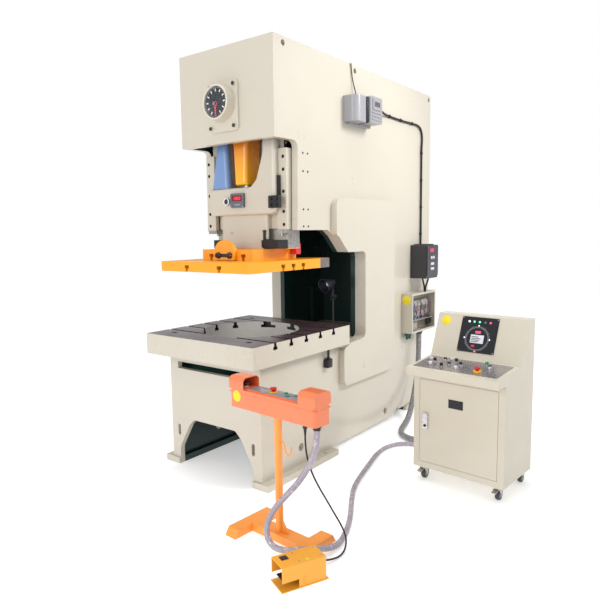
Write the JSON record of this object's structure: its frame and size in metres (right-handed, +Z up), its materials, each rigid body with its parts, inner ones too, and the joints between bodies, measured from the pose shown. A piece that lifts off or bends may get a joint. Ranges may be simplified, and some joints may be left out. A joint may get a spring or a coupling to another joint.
{
  "type": "mechanical stamping press",
  "caption": "C-frame crank press with geared drive, guided slide, T-slotted bolster, wheeled control console, two-hand control stand and foot switch.",
  "frame": {"origin": "on the floor at the centre of the four anchor holes in the front feet, under the slide's centre line", "axes": "+Z up along the slide's stroke, -Y towards the operator, +X to the operator's right, where the console stands"},
  "size_m": [2.3783, 3.3489, 3.0006],
  "materials": {
    "cream_paint": "semi-gloss enamel",
    "orange_paint": "semi-gloss enamel",
    "yellow_paint": "semi-gloss enamel",
    "blue_paint": "semi-gloss enamel",
    "grey_paint": "textured enamel",
    "dark_paint": "matt enamel",
    "machined_steel": "ground",
    "blued_steel": "milled and oiled",
    "black_oxide": "black oxide",
    "bronze": "turned",
    "cast": "as cast and turned",
    "black_plastic": "moulded",
    "grey_plastic": "moulded",
    "red_plastic": "moulded",
    "rubber_black": "matt",
    "wheel_rubber": "matt",
    "conduit_grey": "corrugated",
    "white_paint": "powder coat"
  },
  "bodies": {
    "press": {"frame": "cream_paint", "bolster": "blued_steel", "bolster_bolts": "black_oxide", "gib_left": "cream_paint", "gib_right": "cream_paint", "gib_screws": "black_oxide", "bearing_bushes": "bronze", "dial_housing": "cream_paint", "flywheel_guard": "cream_paint", "drive_motor": "blue_paint", "v_belts": "rubber_black", "cam_switch": "grey_paint", "side_loom": "rubber_black", "drive_box": "dark_paint", "junction_box": "cream_paint", "terminal_strips": "grey_plastic", "lamp_arm": "dark_paint", "knockout_stops": "machined_steel", "console_cabinet": "white_paint", "button_panel": "grey_plastic", "desk_buttons": "black_plastic", "display_panel": "black_plastic", "front_caster_forks": "machined_steel", "front_caster_wheels": "wheel_rubber", "stand": "orange_paint", "control_box": "orange_paint", "pedal_case": "orange_paint", "cord_fittings": "black_plastic", "trunk_conduit": "conduit_grey", "stand_conduit": "conduit_grey", "pedal_cable": "conduit_grey"},
    "slide": {"slide": "cream_paint", "shank_clamp": "orange_paint", "upper_die_plate": "orange_paint", "adjusting_motor": "blue_paint", "ball_seat": "bronze", "slide_gauges": "grey_paint", "stroke_pointer": "black_oxide"},
    "knockout_bar": {"knockout_bar": "black_oxide"},
    "crank": {"crankshaft": "machined_steel", "bull_gear": "cast", "dial_pointer": "red_plastic"},
    "connecting_rod": {"con_rod": "yellow_paint", "rod_cap": "yellow_paint", "ball_screw": "machined_steel"},
    "pinion": {"pinion_shaft": "machined_steel"},
    "flywheel": {"flywheel": "cast"},
    "motor_pulley": {"motor_pulley": "cast"},
    "lamp": {"lamp_head": "dark_paint"},
    "console_door": {"console_door": "white_paint"},
    "door_handle": {"door_handle": "grey_plastic"},
    "console_stop": {"console_estop": "red_plastic"},
    "rear_left_swivel": {"caster_fork_rear_left": "machined_steel"},
    "rear_right_swivel": {"caster_fork_rear_right": "machined_steel"},
    "rear_left_wheel": {"caster_wheel_rear_left": "wheel_rubber"},
    "rear_right_wheel": {"caster_wheel_rear_right": "wheel_rubber"},
    "left_palm_button": {"palm_button_left": "black_plastic"},
    "right_palm_button": {"palm_button_right": "black_plastic"},
    "stand_stop": {"stand_estop": "red_plastic"},
    "foot_tread": {"foot_pedal": "rubber_black"}
  },
  "joints": [
    {"name": "slide_stroke", "type": "slide", "parent": "press", "child": "slide", "axis": [0, 0, 1], "range_m": [-0.16, 0]},
    {"name": "knockout_lift", "type": "slide", "parent": "slide", "child": "knockout_bar", "axis": [0, 0, 1], "range_m": [0, 0.028]},
    {"name": "crank_turn", "type": "hinge", "parent": "press", "child": "crank", "pos_m": [0, 0, 2.6], "axis": [0, 1, 0], "range_deg": [0, 180]},
    {"name": "rod_swing", "type": "hinge", "parent": "slide", "child": "connecting_rod", "pos_m": [0, 0, 1.93], "axis": [0, 1, 0], "range_deg": [-6, 6]},
    {"name": "pinion_turn", "type": "hinge", "parent": "press", "child": "pinion", "pos_m": [0, 0, 2.24], "axis": [0, 1, 0], "range_deg": [-900.1, 0]},
    {"name": "flywheel_turn", "type": "hinge", "parent": "press", "child": "flywheel", "pos_m": [0, 1.87, 2.24], "axis": [0, 1, 0], "continuous": true},
    {"name": "motor_pulley_turn", "type": "hinge", "parent": "press", "child": "motor_pulley", "pos_m": [0, 1.87, 1.5], "axis": [0, 1, 0], "continuous": true},
    {"name": "lamp_tilt", "type": "hinge", "parent": "press", "child": "lamp", "pos_m": [0.25, 0.738, 1.197], "axis": [1, 0, 0], "range_deg": [-25, 25]},
    {"name": "console_door_swing", "type": "hinge", "parent": "press", "child": "console_door", "pos_m": [1.77487, 0.3065, 0.43], "axis": [0, 0, 1], "range_deg": [0, 110]},
    {"name": "door_handle_turn", "type": "hinge", "parent": "console_door", "child": "door_handle", "pos_m": [1.27001, 0.3412, 0.44], "axis": [-0.0833, -0.9965, 0], "range_deg": [0, 90]},
    {"name": "console_stop_press", "type": "slide", "parent": "press", "child": "console_stop", "axis": [-0.0078, -0.0929, 0.9956], "range_m": [-0.005, 0], "stiffness_N_per_m": 1500, "springref_m": 0.004},
    {"name": "rear_left_swivel", "type": "hinge", "parent": "press", "child": "rear_left_swivel", "pos_m": [1.26497, 0.74903, 0.09], "axis": [0, 0, 1], "continuous": true},
    {"name": "rear_right_swivel", "type": "hinge", "parent": "press", "child": "rear_right_swivel", "pos_m": [1.79712, 0.70453, 0.09], "axis": [0, 0, 1], "continuous": true},
    {"name": "rear_left_roll", "type": "hinge", "parent": "rear_left_swivel", "child": "rear_left_wheel", "pos_m": [1.26697, 0.77295, 0.0375], "axis": [0.9965, -0.0833, 0], "continuous": true},
    {"name": "rear_right_roll", "type": "hinge", "parent": "rear_right_swivel", "child": "rear_right_wheel", "pos_m": [1.79912, 0.72845, 0.0375], "axis": [0.9965, -0.0833, 0], "continuous": true},
    {"name": "left_palm_press", "type": "slide", "parent": "press", "child": "left_palm_button", "axis": [0, 0, 1], "range_m": [-0.006, 0], "stiffness_N_per_m": 1200, "springref_m": 0.008},
    {"name": "right_palm_press", "type": "slide", "parent": "press", "child": "right_palm_button", "axis": [0, 0, 1], "range_m": [-0.006, 0], "stiffness_N_per_m": 1200, "springref_m": 0.008},
    {"name": "stand_stop_press", "type": "slide", "parent": "press", "child": "stand_stop", "axis": [0, 0, 1], "range_m": [-0.005, 0], "stiffness_N_per_m": 1500, "springref_m": 0.005},
    {"name": "foot_tread_tilt", "type": "hinge", "parent": "press", "child": "foot_tread", "pos_m": [1.29558, -1.01558, 0.042], "axis": [0.9063, -0.4226, 0], "range_deg": [0, 8], "stiffness_Nm_per_rad": 18, "springref_deg": -5.73}
  ],
  "couplings": [
    {"joint": "crank_turn", "follows": "slide_stroke", "rad_per_m": -19.635},
    {"joint": "pinion_turn", "follows": "slide_stroke", "rad_per_m": 98.175},
    {"joint": "motor_pulley_turn", "follows": "flywheel_turn", "ratio": 4.359}
  ]
}
